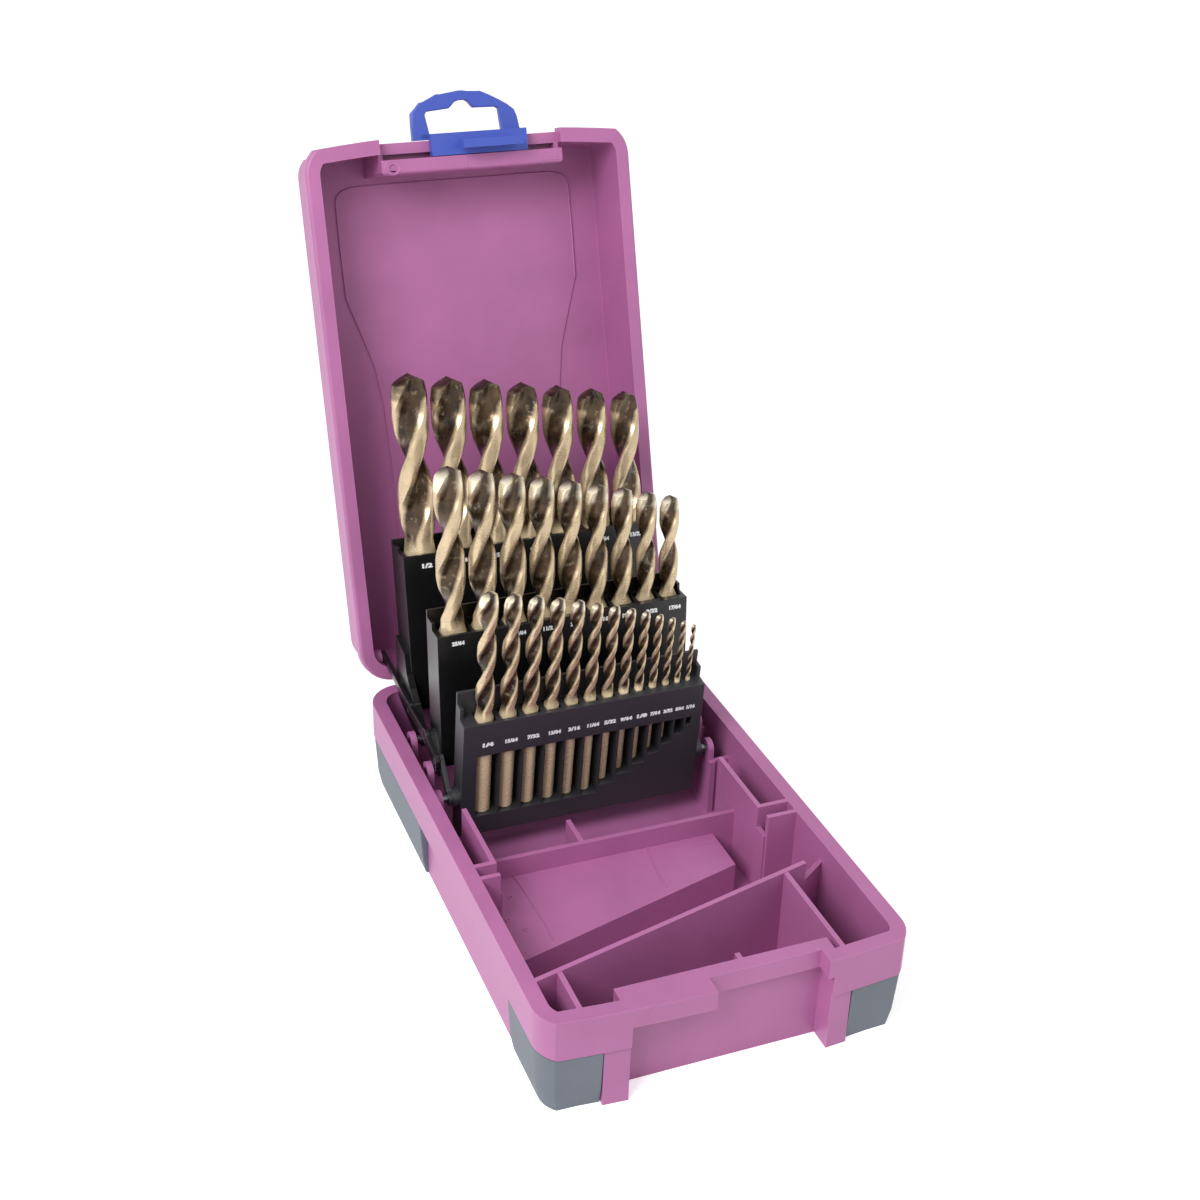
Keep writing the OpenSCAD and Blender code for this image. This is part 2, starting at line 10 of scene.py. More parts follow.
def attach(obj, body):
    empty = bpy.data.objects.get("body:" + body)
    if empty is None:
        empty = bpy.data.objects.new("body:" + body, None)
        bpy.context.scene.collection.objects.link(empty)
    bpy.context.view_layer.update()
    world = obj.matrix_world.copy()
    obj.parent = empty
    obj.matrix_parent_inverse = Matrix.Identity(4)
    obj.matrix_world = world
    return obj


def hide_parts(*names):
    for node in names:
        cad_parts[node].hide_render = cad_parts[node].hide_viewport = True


bl_info = {
    "name": "Drill bit case",
    "version": (1, 0, 0),
    "blender": (4, 5, 0),
    "location": "View3D > Sidebar > Bit Case",
    "description": "Dresses the packed drill bit case with moulded, rounded and textured pieces",
    "category": "Object",
}

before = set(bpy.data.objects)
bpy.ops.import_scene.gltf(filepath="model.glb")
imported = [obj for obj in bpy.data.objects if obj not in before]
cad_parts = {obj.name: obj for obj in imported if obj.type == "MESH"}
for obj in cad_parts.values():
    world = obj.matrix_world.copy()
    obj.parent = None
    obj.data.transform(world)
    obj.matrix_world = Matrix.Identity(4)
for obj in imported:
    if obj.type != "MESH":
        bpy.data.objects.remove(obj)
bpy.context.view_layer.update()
# A millimetre in metres, a metre in millimetres, and a sixty-fourth of an inch in millimetres
MM = 0.001
METRE = 1000
INCH_64 = 25.4 / 64

# The case in millimetres, as in the CAD: heights count from the tray's underside
RIM = 35.0
CASE_SIDE = 60.0
CASE_BACK = 95.0
CASE_FRONT = -98.4
CORNER_R = 12.0
SKIRT_FOOT = 21
HINGE_Y = 96.0
LID_OPEN = 107

# The lid as it lies when closed: heights count from the tray's rim
LID_GAP = 0.2
LID_STEP = 6.2
LID_FLOOR = 27
LEDGE_Y = -85
LEDGE_ENDS = (-33, 34)


def srgb(r, g, b):
    """A colour picked on a screen, 0 to 255, as the shader's linear colour."""
    out = []
    for v in (r, g, b):
        v /= 255
        out.append(v / 12.92 if v <= 0.04045 else ((v + 0.055) / 1.055) ** 2.4)
    return out


# Settings


def colour(name, description, default):
    return bpy.props.FloatVectorProperty(
        name=name, description=description, subtype="COLOR", size=3, min=0, max=1, default=default
    )


def length(name, description, default, low=0.0, high=1.0):
    return bpy.props.FloatProperty(
        name=name, description=description, default=default, min=low, max=high,
        subtype="DISTANCE", unit="LENGTH", precision=4,
    )


def angle(name, description, default):
    return bpy.props.FloatProperty(
        name=name, description=description, default=radians(default), subtype="ANGLE", unit="ROTATION"
    )


def number(name, description, default, low, high, unit="NONE"):
    return bpy.props.FloatProperty(
        name=name, description=description, default=default, min=low, max=high, unit=unit
    )


class BITCASE_PG_shell(bpy.types.PropertyGroup):
    """Tray, lid, bumpers and latch"""

    pink: colour("Shell pink", "Colour of the tray and the lid", srgb(168, 101, 149))
    grey: colour("Bumper grey", "Colour of the corner bumpers", srgb(98, 105, 115))
    blue: colour("Latch blue", "Colour of the sliding latch", srgb(62, 82, 172))
    edge: length("Shell edge", "Rounding of the shell's edges", 0.0005, 0.0001, 0.002)


class BITCASE_PG_rack(bpy.types.PropertyGroup):
    """Folding rack and drill bits"""

    black: colour("Rack black", "Colour of the folding tiers", srgb(13, 13, 15))
    bronze: colour("Bit bronze", "Colour of the drill bits", srgb(202, 181, 148))
    steel: colour("Pin steel", "Colour of the pins", srgb(120, 120, 124))
    ink: colour("Number white", "Colour of the size numbers", srgb(240, 242, 246))
    edge: length("Rack edge", "Rounding of the rack's edges", 0.00025, 0.0001, 0.001)
    flute_depth: number("Flute depth", "Depth of a flute as a share of the bit's radius", 0.5, 0.2, 0.7)


class BITCASE_PG_stage(bpy.types.PropertyGroup):
    """Floor, lights and camera"""

    floor: colour("Floor", "Colour of the floor", srgb(240, 240, 240))
    azimuth: angle("Azimuth", "How far round the case the camera stands", -22.32)
    elevation: angle("Elevation", "How high the camera stands", 28.71)
    roll: angle("Roll", "How far the camera leans", 1.81)
    distance: length("Distance", "Camera distance from its target", 0.560, 0.1, 3.0)
    lens: number("Lens", "Focal length in millimetres", 53.92, 10, 200)
    key: number("Key light", "Power of the main lamp", 7.4, 0, 100, unit="POWER")
    sky: number("Sky", "Strength of the surrounding light", 0.58, 0, 3)
    lift: number("Floor lift", "How much whiter the floor shows than it is lit", 0.5, 0, 1)


# Shader maths


class Sock:
    """A shader socket with arithmetic: an expression on sockets adds its Math nodes."""

    def __init__(self, tree, socket):
        self.tree, self.socket = tree, socket

    def maths(self, operation, *values):
        return self.tree.node("ShaderNodeMath", {"operation": operation}, *values)[0]

    def __add__(self, other):
        return self.maths("ADD", self, other)

    __radd__ = __add__

    def __sub__(self, other):
        return self.maths("SUBTRACT", self, other)

    def __rsub__(self, other):
        return self.maths("SUBTRACT", other, self)

    def __mul__(self, other):
        return self.maths("MULTIPLY", self, other)

    __rmul__ = __mul__

    def clip(self, low, high):
        """Nought at low, one at high, straight between."""
        return self.tree.node("ShaderNodeMapRange", {"clamp": True}, self, low, high, 0.0, 1.0)[0]


class Outputs:
    """A node's outputs, by name or number, as sockets with arithmetic."""

    def __init__(self, tree, node):
        self.tree, self.node = tree, node

    def __getitem__(self, key):
        return Sock(self.tree, self.node.outputs[key])


class Tree:
    """The shader nodes of a material or a world, with one method that adds any node."""

    def __init__(self, owner):
        owner.use_nodes = True
        self.nodes = owner.node_tree.nodes
        self.links = owner.node_tree.links

    def node(self, kind, settings, *values, **named):
        """Adds a node, makes its settings, then gives its sockets their values or links."""
        n = self.nodes.new(kind)
        for key, value in settings.items():
            setattr(n, key, value)
        for key, value in list(enumerate(values)) + list(named.items()):
            if value is not None:
                self.give(n.inputs[key.replace("_", " ") if isinstance(key, str) else key], value)
        return Outputs(self, n)

    def give(self, socket, value):
        """Links a socket, or sets its number, vector or colour."""
        if isinstance(value, Sock):
            self.links.new(value.socket, socket)
        elif socket.type == "RGBA":
            socket.default_value = (*value, 1.0)
        else:
            socket.default_value = value

    def mix(self, amount, a, b):
        """One colour turning into another by an amount from 0 to 1."""
        n = self.node("ShaderNodeMix", {"data_type": "RGBA"})
        for place, value in ((0, amount), (6, a), (7, b)):
            self.give(n.node.inputs[place], value)
        return n[2]

    def seen(self):
        """One where the eye, a reflection or clear matter looks, nought for light that falls."""
        path = self.node("ShaderNodeLightPath", {})
        most = {"operation": "MAXIMUM"}
        looks = self.node("ShaderNodeMath", most, path["Is Camera Ray"], path["Is Glossy Ray"])[0]
        return self.node("ShaderNodeMath", most, looks, path["Is Transmission Ray"])[0]


class Finish(Tree):
    """A material with a Principled shader, patterned by the place on the piece."""

    def __init__(self, name):
        self.material = bpy.data.materials.new(name)
        super().__init__(self.material)
        self.shader = self.nodes["Principled BSDF"]
        self.where = self.node("ShaderNodeTexCoord", {})["Object"]

    def noise(self, scale, detail=2.0, rough=0.5, stretch=None, seed=0.0):
        where = self.where
        if stretch or seed:
            where = self.node(
                "ShaderNodeMapping", {}, Vector=where, Scale=stretch or (1, 1, 1), Location=(seed,) * 3
            )["Vector"]
        return self.node(
            "ShaderNodeTexNoise", {}, Vector=where, Scale=scale, Detail=detail, Roughness=rough
        )["Fac"]

    def bump(self, height, strength, distance, normal=None):
        return self.node(
            "ShaderNodeBump", {}, Height=height, Strength=strength, Distance=distance, Normal=normal
        )["Normal"]

    def feed(self, **inputs):
        """Gives the shader's sockets their values and returns the finished material."""
        for key, value in inputs.items():
            self.give(self.shader.inputs[key.replace("_", " ")], value)
        return self.material


# Materials


def shade(c, k):
    """A colour made k times as light."""
    return [min(1.0, v * k) for v in c]


def moulded_plastic(name, base, rough=0.42, painted_sheen=0.35):
    """Moulded plastic: faint cloudy flow marks, fine grain and uneven gloss, with a painted sheen at grazing
    angles and a painted highlight along edges.
    """
    mottle = 0.08
    t = Finish(name)
    cloud = t.noise(38.0, 3.0, 0.55)
    flow = t.noise(16.0, 2.0, 0.5, stretch=(1, 0.4, 2.2), seed=3.1)
    fine = t.noise(1900.0, 2.0, 0.6)
    tone = t.mix(cloud.clip(0.3, 0.7), shade(base, 1 - mottle), shade(base, 1 + mottle))
    tone = t.mix(flow.clip(0.45, 0.8) * 0.35, tone, shade(base, 1 + 2 * mottle))
    # Painted sheen: the colour turns paler towards grazing angles, by the painted sheen amount.
    side = t.node("ShaderNodeLayerWeight", {}, Blend=0.4)["Facing"]
    tone = t.mix(side.clip(0.35, 1.0) * painted_sheen, tone, shade(base, 1.5))
    # Painted highlight along edges, creases too: where the rounded shading normal leaves the flat one, the
    # colour turns paler.
    rounded = t.node("ShaderNodeBevel", {"samples": 6}, Radius=0.0005)["Normal"]
    flat = t.node("ShaderNodeNewGeometry", {})["Normal"]
    edge_highlight_dot = t.node("ShaderNodeVectorMath", {"operation": "DOT_PRODUCT"}, rounded, flat)["Value"]
    tone = t.mix((1.0 - edge_highlight_dot).clip(0.0, 0.25) * 0.4, tone, shade(base, 1.7))
    gloss = cloud * 0.10 + fine * 0.06 + (rough - 0.08)
    return t.feed(
        Base_Color=tone, Roughness=gloss, IOR=1.49,
        Normal=t.bump(fine * 0.6 + cloud * 0.4, 0.10, 0.0004),
    )


def rubbery_plastic(name, base):
    """Soft-touch bumper plastic: matt, with a fine pebble grain."""
    t = Finish(name)
    cloud = t.noise(45.0, 3.0, 0.5)
    pebble = t.noise(1300.0, 3.0, 0.6)
    tone = t.mix(cloud.clip(0.3, 0.7), shade(base, 0.9), shade(base, 1.1))
    return t.feed(
        Base_Color=tone, Roughness=cloud * 0.12 + 0.48,
        Normal=t.bump(pebble, 0.22, 0.0005),
    )


def glossy_plastic(name, base, edge, rough=0.22):
    """Glossy injection moulding: smooth, with slow ripples and faint dust."""
    t = Finish(name)
    ripple = t.noise(60.0, 2.0, 0.5)
    dust = t.noise(900.0, 4.0, 0.7)
    tone = t.mix(dust.clip(0.55, 0.9) * 0.25, base, shade([v + 0.02 for v in base], 1.6))
    round_edges = t.node("ShaderNodeBevel", {"samples": 6}, Radius=edge)["Normal"]
    return t.feed(
        Base_Color=tone, Roughness=ripple * 0.08 + dust * 0.08 + rough, IOR=1.5,
        Normal=t.bump(ripple, 0.03, 0.0004, round_edges),
    )


BIT_MARKS = ("land", "shank", "tip")


def bronze_bit(name, base):
    """Bronze oxide on ground steel: pale golden lands, dark brown flutes, fine grinding lines; painted
    highlights on the shank and the ground tips, and painted shade on the tips of the rear and middle rows.
    """
    t = Finish(name)
    marks = [t.node("ShaderNodeAttribute", {"attribute_name": key})["Fac"] for key in BIT_MARKS]
    land, shank, tip = marks
    patch = t.noise(150.0, 3.0, 0.6)
    tint = t.noise(420.0, 2.0, 0.5, seed=1.7)
    grind = t.noise(700.0, 2.0, 0.6, stretch=(1, 1, 4))
    flute = t.mix(patch.clip(0.3, 0.7), srgb(34, 26, 20), srgb(92, 72, 52))
    ground = t.mix(patch.clip(0.3, 0.7), shade(base, 0.82), shade(base, 1.12))
    tone = t.mix((land + patch * 0.3 - 0.15).clip(0.35, 0.8), flute, ground)
    tone = t.mix(tint.clip(0.6, 0.8) * 0.3, tone, srgb(240, 224, 190))
    # Painted highlight: the shank is painted pale cream for the light it catches, and made less metallic.
    tone = t.mix(shank * 0.85, tone, srgb(255, 234, 190))
    # Painted highlight: the ground tips of the middle and front bits turn near white.
    tone = t.mix(tip * land, tone, srgb(255, 246, 222))
    return t.feed(
        Base_Color=tone, Metallic=0.6 - shank * 0.35, Roughness=patch * 0.10 + grind * 0.06 + 0.20,
        Normal=t.bump(grind, 0.08, 0.0003),
    )


def drawn_steel(name, base):
    """Drawn steel pin: thin lines along it."""
    t = Finish(name)
    lines = t.noise(500.0, 2.0, 0.5, stretch=(0.05, 1, 1))
    tone = t.mix(lines.clip(0.3, 0.7), shade(base, 0.8), base)
    return t.feed(Base_Color=tone, Metallic=1.0, Roughness=lines * 0.15 + 0.22)


def printed_ink(name, base):
    """Hot-stamped ink of the size numbers, a little worn."""
    t = Finish(name)
    worn = t.noise(900.0, 3.0, 0.6)
    tone = t.mix(worn.clip(0.5, 0.8), base, shade(base, 0.6))
    return t.feed(Base_Color=tone, Roughness=worn * 0.2 + 0.45)


MATERIALS = {}
# How many times paler the front tier's black is than the others', a painted sheen: the front tier is the same
# black plastic, painted grey where its faces catch a sheen
FRONT_SHEEN_PALER = 7


def material(key):
    """The finished material of that name; the first call makes them all."""
    if key not in MATERIALS:
        shell = bpy.context.scene.bitcase_shell
        rack = bpy.context.scene.bitcase_rack
        sheen_pale_black = shade(rack.black[:], FRONT_SHEEN_PALER)
        MATERIALS["shell"] = moulded_plastic("pink moulded plastic", shell.pink[:])
        MATERIALS["bumper"] = rubbery_plastic("grey bumper plastic", shell.grey[:])
        MATERIALS["latch"] = moulded_plastic("blue latch plastic", shell.blue[:], rough=0.36, painted_sheen=0.2)
        MATERIALS["rack"] = glossy_plastic("black rack plastic", rack.black[:], rack.edge)
        # The front tier's plastic: the same black made paler, a painted sheen, and a little rougher.
        MATERIALS["front rack"] = glossy_plastic("front rack plastic with painted sheen", sheen_pale_black, rack.edge, rough=0.3)
        MATERIALS["bit"] = bronze_bit("bronze drill bit", rack.bronze[:])
        MATERIALS["pin"] = drawn_steel("drawn steel pin", rack.steel[:])
        MATERIALS["ink"] = printed_ink("white size ink", rack.ink[:])
    return MATERIALS[key]


# Modelling


def object_mode():
    bpy.ops.object.mode_set(mode="OBJECT")


def edit_mode():
    bpy.ops.object.mode_set(mode="EDIT")


def alone(obj):
    """Selects one object and nothing else."""
    if bpy.context.object and bpy.context.object.mode != "OBJECT":
        object_mode()
    bpy.ops.object.select_all(action="DESELECT")
    obj.select_set(True)
    bpy.context.view_layer.objects.active = obj


def apply_all(obj):
    """Applies every modifier of an object."""
    alone(obj)
    for m in list(obj.modifiers):
        bpy.ops.object.modifier_apply(modifier=m.name)


def block(place):
    """A cube of one metre, put in place and to size by a matrix."""
    bpy.ops.object.select_all(action="DESELECT")
    bpy.ops.mesh.primitive_cube_add(size=1.0, location=(0, 0, 0))
    obj = bpy.context.object
    obj.data.transform(place)
    return obj


def joined(parts, into=0):
    """Several objects made one."""
    alone(parts[into])
    for part in parts:
        part.select_set(True)
    bpy.ops.object.join()
    return bpy.context.object


def finish_piece(obj, name, body, mat, smooth=35):
    """Names a piece, shades it (smooth up to an angle, or flat at 0), colours it and gives it a body."""
    obj.name = name
    obj.data.name = name
    alone(obj)
    if smooth:
        bpy.ops.object.shade_smooth_by_angle(angle=radians(smooth))
    else:
        bpy.ops.object.shade_flat()
    obj.data.materials.clear()
    obj.data.materials.append(material(mat))
    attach(obj, body)


def moulded_copy(node, name, body, mat, edge=0.0, segments=2, shape=None, merge=2e-5, plain=False):
    """A cleaned and rounded copy of a CAD node that stands in for it; a plain one keeps flat faces."""
    alone(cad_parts[node])
    bpy.ops.object.duplicate()
    obj = bpy.context.object
    obj.name = name
    edit_mode()
    bpy.ops.mesh.select_all(action="SELECT")
    bpy.ops.mesh.remove_doubles(threshold=merge)
    if not plain:
        bpy.ops.mesh.dissolve_limited(angle_limit=radians(0.6), delimit={"NORMAL"})
    bpy.ops.mesh.select_all(action="DESELECT")
    object_mode()
    if shape:
        shape(obj)
    if edge:
        m = obj.modifiers.new("edge", "BEVEL")
        m.width = edge
        m.segments = segments
        m.limit_method = "ANGLE"
        m.angle_limit = radians(28)
        m.use_clamp_overlap = True
        m.miter_outer = "MITER_ARC"
        apply_all(obj)
    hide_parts(node)
    finish_piece(obj, name, body, mat, smooth=0 if plain else 35)
    if not plain:
        m = obj.modifiers.new("flat faces", "WEIGHTED_NORMAL")
        m.keep_sharp = True
        apply_all(obj)


# Closed-lid place to open-lid place
LID = (
    Matrix.Translation((0, HINGE_Y * MM, RIM * MM))
    @ Matrix.Rotation(radians(-LID_OPEN), 4, "X")
    @ Matrix.Translation((0, -HINGE_Y * MM, 0))
)


def round_edges(obj, test, width, segments):
    """Rounds the sharp edges whose two ends both pass a test on their place, in millimetres."""
    sharp = 0.5
    alone(obj)
    edit_mode()
    bpy.ops.mesh.select_mode(type="EDGE")
    bpy.ops.mesh.select_all(action="DESELECT")
    bm = bmesh.from_edit_mesh(obj.data)
    for e in bm.edges:
        bent = len(e.link_faces) == 2 and e.calc_face_angle(0) > sharp
        if bent and all(test(v.co * METRE) for v in e.verts):
            e.select_set(True)
    bmesh.update_edit_mesh(obj.data)
    bpy.ops.mesh.bevel(offset=width, segments=segments, affect="EDGES", clamp_overlap=True)
    object_mode()


def near(a, b):
    """Whether two measures in millimetres are the same but for a tenth."""
    return abs(a - b) < 0.1


def out_of(p, inset=0.0):
    """How far a point lies outside the case's rounded outline, seen from above, set in by a distance."""
    qx = abs(p.x) - (CASE_SIDE - CORNER_R)
    qy = max(p.y - (CASE_BACK - CORNER_R), CASE_FRONT + CORNER_R - p.y)
    return Vector((max(qx, 0), max(qy, 0))).length + min(max(qx, qy), 0) - (CORNER_R - inset)


def curve_mesh(name, lines, **settings):
    """A mesh made from a curve along lines of points."""
    curve = bpy.data.curves.new(name, "CURVE")
    for key, value in settings.items():
        setattr(curve, key, value)
    for points in lines:
        line = curve.splines.new("POLY")
        line.points.add(len(points) - 1)
        line.use_cyclic_u = curve.dimensions == "2D"
        for point, place in zip(line.points, points):
            point.co = (*place, 1)
    obj = bpy.data.objects.new(name, curve)
    bpy.context.collection.objects.link(obj)
    alone(obj)
    bpy.ops.object.convert(target="MESH")
    return bpy.context.object


def bead(name, body, points, radius):
    """A thin moulded bead on a shell along a line of points."""
    obj = curve_mesh(
        name, [points], dimensions="3D", bevel_depth=radius, bevel_resolution=2, use_fill_caps=True
    )
    finish_piece(obj, name, body, "shell", smooth=60)


def lid_plate(name, outlines, height, half, edge, **settings):
    """A round-edged plate inside closed outlines in the lid's plane, at a height in the closed lid."""
    lines = [[(x * MM, y * MM, 0) for x, y in outline] for outline in outlines]
    obj = curve_mesh(
        name, lines, dimensions="2D", fill_mode="BOTH", extrude=half, bevel_depth=edge, **settings
    )
    obj.data.transform(LID @ Matrix.Translation((0, 0, height * MM)))
    return obj


def pick(obj, test):
    """Selects the mesh's points that pass a test on their place."""
    alone(obj)
    edit_mode()
    bpy.ops.mesh.select_mode(type="VERT")
    bpy.ops.mesh.select_all(action="DESELECT")
    bm = bmesh.from_edit_mesh(obj.data)
    for v in bm.verts:
        if test(v.co):
            v.select_set(True)
    bm.select_flush_mode()
    bmesh.update_edit_mesh(obj.data)


def move(obj, where):
    """Moves each selected point to a place worked out from its old one."""
    bm = bmesh.from_edit_mesh(obj.data)
    for v in bm.verts:
        if v.select:
            v.co = where(v.co.copy())
    bmesh.update_edit_mesh(obj.data)


# Rack, as in the CAD: one value for each tier, rear to front

TIERS = ("rear", "middle", "front")
FRONT = 2
LEAN = (10.0, 3.5, -6.7)
ROW = ((92.1, 55.9), (50.1, 46.9), (25.7, 25.6))
TIER_T = (15.2, 12.6, 9.0)
FIRST_X = (-36.9, -38.1, -35.0)
COUNT = (7, 9, 13)
LARGEST = (32, 25, 16)
# From the first bit's to the last one's: depth of bay, length that shows, and pitch
SEAT = ((56, 44), (48, 44), (40, 17))
SHOW = ((63, 47.5), (58, 36.5), (50, 23))
PITCH = ((13.8, 12.6), (11.1, 8.6), (8.3, 4.0))
# How many bits after the first stand as deep as it does
SAME_SEAT = (0, 0, 5)
RACK_X = -2.0


def fraction(n):
    """A size in sixty-fourths of an inch, as it is stamped."""
    common = gcd(n, 64)
    return f"{n // common}/{64 // common}"


def tier_place(t):
    """A tier's row: origin at the row's top line, Z along its bits."""
    y, z = ROW[t]
    lean = Matrix.Rotation(radians(-LEAN[t]), 4, "X")
    return Matrix.Translation((RACK_X * MM, y * MM, (RIM + z) * MM)) @ lean


def bit_size(t, i):
    """Diameter of a bit in sixty-fourths of an inch."""
    return LARGEST[t] - i


def bit_x(t, i):
    """How far along its row a bit stands, where the pitch shrinks evenly."""
    step = (PITCH[t][0] - PITCH[t][1]) / (COUNT[t] - 2)
    return FIRST_X[t] + i * PITCH[t][0] - i * (i - 1) / 2 * step


def along(pair, t, i, even=0):
    """A length that runs from the first bit's to the last one's, the same for the first few."""
    a, b = pair[t]
    return a + (b - a) * max(0, i - even) / (COUNT[t] - 1 - even)


def seat(t, i):
    """Depth of a bit's bay."""
    return along(SEAT, t, i, SAME_SEAT[t])


# Operators


class BITCASE_OT_tray(bpy.types.Operator):
    """Dress the tray: rounded rims and the lines and marks on its deck"""

    bl_idname = "bitcase.tray"
    bl_label = "Tray"

    deck_top = 0.0151
    deck_lines = {
        "left_deck_line": ((-36.9, -0.8), (-35.9, -8.4), (-35.4, -18.7), (-35.0, -28.8), (-35.2, -38.2)),
        "right_deck_line": ((11.7, -3.0), (10.5, -8.9), (9.6, -13.9), (9.2, -19.9), (9.3, -25.2)),
        "deck_step_line": ((26.0, -7.6), (35.5, -7.7)),
    }
    ejector_marks = ((-41, -13.4), (-45.6, -24.2), (-41.8, -30.4))
    mark_r = 0.7

    def execute(self, context):
        edge = context.scene.bitcase_shell.edge
        moulded_copy("base_tray", "tray", "tray", "shell", edge, shape=self.round_rims)
        for name, line in self.deck_lines.items():
            self.deck_bead(name, line, 0.0002)
        for k, (x, y) in enumerate(self.ejector_marks):
            turns = [a * pi / 6 for a in range(13)]
            ring = [(x + self.mark_r * cos(a), y + self.mark_r * sin(a)) for a in turns]
            self.deck_bead(f"deck_ejector_mark_{k + 1}", ring, 0.00022)
        return {"FINISHED"}

    def deck_bead(self, name, line, radius):
        bead(name, "tray", [(x * MM, y * MM, self.deck_top) for x, y in line], radius)

    def round_rims(self, obj):
        round_edges(obj, lambda p: near(p.z, RIM) and out_of(p) > -0.8, 0.0013, 4)
        round_edges(obj, lambda p: near(p.z, SKIRT_FOOT) and out_of(p) > -0.5, 0.0006, 3)


class BITCASE_OT_lid(bpy.types.Operator):
    """Dress the lid: rounded rims and fillets, the floor's panel, and the ledge's shelf and beads"""

    bl_idname = "bitcase.lid"
    bl_label = "Lid"

    ledge_top = 0.45
    ring_middle = (-29, -87.6)
    ring_r = (2.7, 2.3)
    ledge_lines = {
        "ledge_notch": ((-2.2, -89.6), (-2.2, -86.2), (-0.6, -85.9)),
        "ledge_tab": ((26.4, -89.4), (26.6, -86.4), (31.6, -86.4), (31.8, -89.4)),
    }
    panel_corner = ((44.6, -43), (44.8, -60), (44.7, -77), (44, -79.4), (42, -81.2), (38, -82.2), (24, -82.4))
    panel_corner_top = 26.6
    panel_side = (
        (30, -82.4), (38, -82.2), (42, -81.2), (44, -79.4), (44.7, -77), (44.8, -60), (44.6, -43),
        (42.4, -36), (38.6, -24), (36.6, -17), (34.8, -4), (34, 20), (34, 70),
    )
    shelf_middle = (0.5, -89.6, 8.4)
    shelf_size = (0.0655, 0.0056, 0.001)

    def execute(self, context):
        edge = context.scene.bitcase_shell.edge
        moulded_copy("lid_shell", "lid", "lid", "shell", edge, shape=self.round_rims)
        (x, y), (rx, ry) = self.ring_middle, self.ring_r
        turns = [a * pi / 12 for a in range(25)]
        self.lid_bead("ledge_ring", [(x + rx * cos(a), y + ry * sin(a)) for a in turns], self.ledge_top)
        for name, line in self.ledge_lines.items():
            self.lid_bead(name, line, self.ledge_top)
        self.lid_bead("lid_panel_corner", self.panel_corner, self.panel_corner_top)
        self.shelf()
        self.panel()
        return {"FINISHED"}

    def lid_bead(self, name, line, height):
        bead(name, "lid", [LID @ (Vector((x, y, height)) * MM) for x, y in line], 0.0004)

    def panel(self):
        """The low raised panel of the lid's floor, narrower towards the hinge."""
        outline = [*self.panel_side, *((-x, y) for x, y in reversed(self.panel_side))]
        obj = lid_plate("lid_panel", [outline], 26.9, 0.00025, 0.00025)
        finish_piece(obj, "lid_panel", "lid", "shell", smooth=30)

    def shelf(self):
        """A shelf across the hollow behind the ledge, below the latch's catch."""
        place = Matrix.Translation(Vector(self.shelf_middle) * MM)
        obj = block(LID @ place @ Matrix.Diagonal((*self.shelf_size, 1)))
        finish_piece(obj, "ledge_shelf", "lid", "shell")

    def round_rims(self, obj):
        """Rounds the ledge's corners, the fillet round the floor and the steps of the rim."""
        left, right = LEDGE_ENDS
        obj.data.transform(LID.inverted())
        round_edges(obj, lambda p: near(p.y, LEDGE_Y) and (near(p.x, left) or near(p.x, right)), 0.0035, 4)
        round_edges(obj, lambda p: near(p.z, LID_FLOOR) and (abs(p.x) > 36.5 or p.y > -80), 0.006, 5)
        round_edges(obj, lambda p: near(p.z, LID_GAP) and out_of(p) > -0.8, 0.0012, 4)
        round_edges(obj, lambda p: near(p.z, LID_STEP) and out_of(p) > -0.8, 0.0008, 3)
        obj.data.transform(LID)


class BITCASE_OT_bumpers(bpy.types.Operator):
    """Dress the four corner bumpers"""

    bl_idname = "bitcase.bumpers"
    bl_label = "Corner bumpers"

    # How deep a bumper reaches into the outline and where its taper ends, in millimetres
    bumper_in = 2.9
    taper_top = 20
    # Where its side bends, and how far the foot and the side are drawn in, in metres
    foot_top = 0.006
    foot_in = 0.0021
    side_in = 0.0009

    def execute(self, context):
        for end in ("front", "rear"):
            for side in ("left", "right"):
                node, name = f"bumper_{end}_{side}", f"{end}_{side}_bumper"
                moulded_copy(node, name, "tray", "bumper", 0.0005, segments=3, shape=self.taper)
        return {"FINISHED"}

    def taper(self, obj):
        """Draws the outer face in towards the floor and rounds its foot."""
        alone(obj)
        edit_mode()
        bpy.ops.mesh.select_all(action="SELECT")
        bpy.ops.mesh.bisect(plane_co=(0, 0, self.foot_top), plane_no=(0, 0, 1))
        bm = bmesh.from_edit_mesh(obj.data)
        for v in bm.verts:
            p = v.co * METRE
            if out_of(p, self.bumper_in) > -1.0 and p.z < self.taper_top:
                v.co.xy += self.inward(p) * (self.foot_in if p.z < 1 else self.side_in)
        bmesh.update_edit_mesh(obj.data)
        object_mode()

    def inward(self, p):
        """The way in from a point: to the corner's own middle if it is round there, or to the case's."""
        across = max(abs(p.x) - (CASE_SIDE - CORNER_R), 0)
        away = max(p.y - (CASE_BACK - CORNER_R), 0) + min(p.y - (CASE_FRONT + CORNER_R), 0)
        corner = Vector((across if p.x > 0 else -across, away))
        return -(corner if corner.length > 0.1 else p.xy).normalized()


